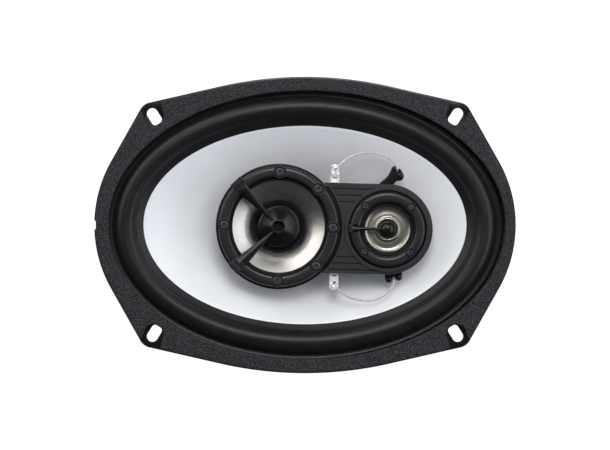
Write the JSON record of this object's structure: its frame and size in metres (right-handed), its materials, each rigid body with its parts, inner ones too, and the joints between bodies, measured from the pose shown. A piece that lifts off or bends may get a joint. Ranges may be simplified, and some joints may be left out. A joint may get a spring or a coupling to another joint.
{
  "type": "coaxial car speaker",
  "caption": "Oval coaxial car loudspeaker: pressed basket with slotted flange, rubber-edged cone, and a bridge over it that carries a midrange unit and a small tweeter.",
  "frame": {"origin": "centre of the rear face of the magnet's back plate, on which the speaker stands", "axes": "+Z along the voice coil's axis towards the listener, +X along the long side towards the small tweeter"},
  "size_m": [0.235, 0.1652, 0.086],
  "materials": {
    "black_steel": "gloss black paint",
    "gasket_foam": "pebbled, matt",
    "surround_rubber": "satin",
    "cone_grey": "satin metallic grey",
    "plated_steel": "zinc plated",
    "ferrite": "ground, dull",
    "winding": "enamelled copper",
    "former": "glossy film",
    "spider_cloth": "resin-dipped weave",
    "bridge_plastic": "satin, fine grain",
    "bezel_plastic": "semi-gloss",
    "metal_film": "vacuum metallised",
    "soft_edge": "matt",
    "screw_black": "black oxide",
    "tinned": "tinned",
    "braid": "tinned copper braid",
    "fibre_board": "pressed fibre",
    "capacitor_blue": "shrink sleeve",
    "capacitor_red": "shrink sleeve"
  },
  "bodies": {
    "frame": {"basket": "black_steel", "gasket": "gasket_foam", "pole_yoke": "plated_steel", "magnet": "ferrite", "top_plate": "plated_steel", "basket_rivets": "plated_steel", "terminal_board": "fibre_board", "terminal_positive": "tinned", "terminal_negative": "tinned", "terminal_rivets": "plated_steel", "capacitor_mid": "capacitor_blue", "capacitor_tweeter": "capacitor_red", "bridge_base": "bridge_plastic", "bridge_cover": "bridge_plastic", "post_bolt": "plated_steel", "post_washer": "plated_steel", "solder_tab_upper": "tinned", "solder_tab_lower": "tinned", "lead_clip_upper": "bridge_plastic", "lead_clip_lower": "bridge_plastic", "lead_upper": "braid", "lead_lower": "braid", "mid_housing": "bridge_plastic", "mid_pot": "plated_steel", "mid_magnet": "plated_steel", "mid_pole_plate": "plated_steel", "mid_bezel": "bezel_plastic", "mid_screws": "screw_black", "mid_phase_plug": "bezel_plastic", "tweeter_housing": "bridge_plastic", "tweeter_pot": "plated_steel", "tweeter_magnet": "plated_steel", "tweeter_pole_plate": "plated_steel", "tweeter_bezel": "bezel_plastic", "tweeter_screws": "screw_black", "tweeter_bullet": "bezel_plastic"},
    "cone_assembly": {"cone": "cone_grey", "surround": "surround_rubber", "spider": "spider_cloth", "voice_coil_former": "former", "voice_coil_winding": "winding"},
    "mid_assembly": {"mid_diaphragm": "metal_film", "mid_dust_cap": "soft_edge", "mid_surround": "soft_edge", "mid_voice_coil": "winding"},
    "tweeter_assembly": {"tweeter_diaphragm": "metal_film", "tweeter_surround": "soft_edge", "tweeter_voice_coil": "winding"}
  },
  "joints": [
    {"name": "cone_stroke", "type": "slide", "parent": "frame", "child": "cone_assembly", "axis": [0, 0, 1], "range_m": [-0.005, 0.005], "stiffness_N_per_m": 2500, "deforming": ["surround", "spider"]},
    {"name": "mid_stroke", "type": "slide", "parent": "frame", "child": "mid_assembly", "axis": [0, 0, 1], "range_m": [-0.0008, 0.0008], "stiffness_N_per_m": 800, "deforming": ["mid_surround"]},
    {"name": "tweeter_stroke", "type": "slide", "parent": "frame", "child": "tweeter_assembly", "axis": [0, 0, 1], "range_m": [-0.0003, 0.0003], "stiffness_N_per_m": 500, "deforming": ["tweeter_surround"]}
  ]
}
